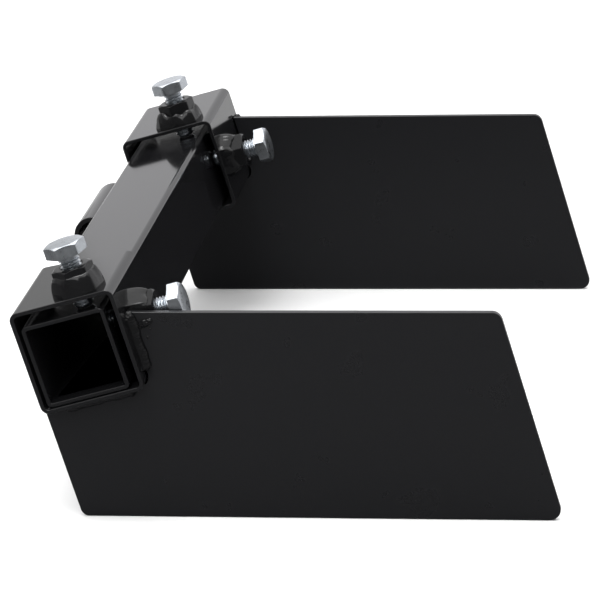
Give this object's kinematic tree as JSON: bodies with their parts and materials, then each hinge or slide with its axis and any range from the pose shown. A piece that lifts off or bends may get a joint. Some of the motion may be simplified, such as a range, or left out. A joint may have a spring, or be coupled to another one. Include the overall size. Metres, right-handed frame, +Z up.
{
  "type": "adjustable side-plate frame",
  "caption": "Square crossbar with two sliding clamp collars, each with a welded side plate and hexagon clamping screws, and a short round tube welded to the bar.",
  "frame": {"origin": "middle of the frame's length and width, on the surface that the two side plates stand on", "axes": "+X runs along the side plates away from the crossbar, +Y along the crossbar from the front collar to the rear one, +Z up"},
  "size_m": [0.2566, 0.34, 0.135],
  "materials": {
    "tube_powder_coat": "gloss black powder coat with a faint orange peel",
    "plate_powder_coat": "semi-gloss black powder coat on flat plate",
    "weld_powder_coat": "gloss black powder coat over rippled weld beads",
    "zinc_screw": "bright zinc plating, slightly blue"
  },
  "bodies": {
    "bar": {"crossbar": "tube_powder_coat", "pivot_tube": "tube_powder_coat", "pivot_weld_upper": "weld_powder_coat", "pivot_weld_lower": "weld_powder_coat"},
    "front_carriage": {"front_collar": "tube_powder_coat", "front_plate": "plate_powder_coat", "front_plate_side_weld": "weld_powder_coat", "front_plate_lower_weld": "weld_powder_coat", "front_top_nut": "tube_powder_coat", "front_side_nut": "tube_powder_coat", "front_top_nut_weld": "weld_powder_coat", "front_side_nut_weld": "weld_powder_coat"},
    "rear_carriage": {"rear_collar": "tube_powder_coat", "rear_plate": "plate_powder_coat", "rear_plate_side_weld": "weld_powder_coat", "rear_plate_lower_weld": "weld_powder_coat", "rear_top_nut": "tube_powder_coat", "rear_side_nut": "tube_powder_coat", "rear_top_nut_weld": "weld_powder_coat", "rear_side_nut_weld": "weld_powder_coat"},
    "front_top_screw": {"front_top_screw": "zinc_screw"},
    "front_side_screw": {"front_side_screw": "zinc_screw"},
    "rear_top_screw": {"rear_top_screw": "zinc_screw"},
    "rear_side_screw": {"rear_side_screw": "zinc_screw"}
  },
  "joints": [
    {"name": "front_carriage_slide", "type": "slide", "parent": "bar", "child": "front_carriage", "axis": [0, 1, 0], "range_m": [-0.005, 0.125]},
    {"name": "rear_carriage_slide", "type": "slide", "parent": "bar", "child": "rear_carriage", "axis": [0, 1, 0], "range_m": [-0.02, 0.04]},
    {"name": "front_top_screw_travel", "type": "slide", "parent": "front_carriage", "child": "front_top_screw", "axis": [-0.2588, 0, 0.9659], "range_m": [0, 0.008]},
    {"name": "front_side_screw_travel", "type": "slide", "parent": "front_carriage", "child": "front_side_screw", "axis": [0.9659, 0, 0.2588], "range_m": [0, 0.008]},
    {"name": "rear_top_screw_travel", "type": "slide", "parent": "rear_carriage", "child": "rear_top_screw", "axis": [-0.2588, 0, 0.9659], "range_m": [0, 0.008]},
    {"name": "rear_side_screw_travel", "type": "slide", "parent": "rear_carriage", "child": "rear_side_screw", "axis": [0.9659, 0, 0.2588], "range_m": [0, 0.008]}
  ]
}
